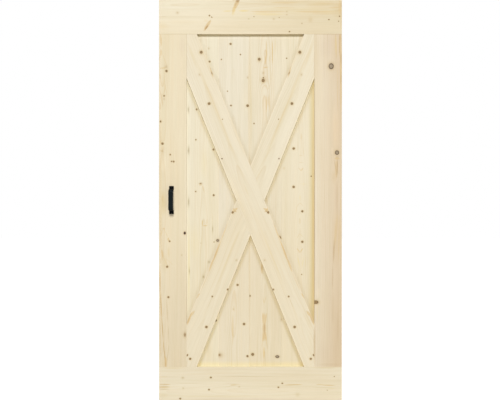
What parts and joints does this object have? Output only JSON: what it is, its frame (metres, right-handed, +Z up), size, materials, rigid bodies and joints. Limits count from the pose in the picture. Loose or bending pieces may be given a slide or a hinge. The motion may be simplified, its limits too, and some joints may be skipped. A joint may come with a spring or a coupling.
{
  "type": "framed ledged and braced door leaf",
  "caption": "Framed ledged and braced door leaf in knotty softwood: two rails, two stiles, an upright board panel, an X of flush braces on each face and a black strap pull.",
  "frame": {"origin": "centre of the leaf's top edge, the face it hangs from", "axes": "+X to the right as seen from the front, +Y from the front face to the back face, +Z up"},
  "size_m": [0.93, 0.078, 2.04],
  "materials": {
    "pine_frame": "planed, unfinished knotty softwood",
    "pine_panel": "planed, unfinished knotty softwood",
    "pine_brace": "planed, unfinished knotty softwood",
    "black_coated_steel": "fine-textured black powder coat",
    "black_screw": "black, slightly worn on the recess"
  },
  "bodies": {
    "root": {"top_rail": "pine_frame", "bottom_rail": "pine_frame", "left_stile": "pine_frame", "right_stile": "pine_frame", "panel_board_1": "pine_panel", "panel_board_2": "pine_panel", "panel_board_3": "pine_panel", "panel_board_4": "pine_panel", "front_brace_long": "pine_brace", "front_brace_upper_half": "pine_brace", "front_brace_lower_half": "pine_brace", "back_brace_long": "pine_brace", "back_brace_upper_half": "pine_brace", "back_brace_lower_half": "pine_brace", "pull_handle": "black_coated_steel", "handle_screw_upper": "black_screw", "handle_screw_lower": "black_screw"}
  },
  "joints": []
}
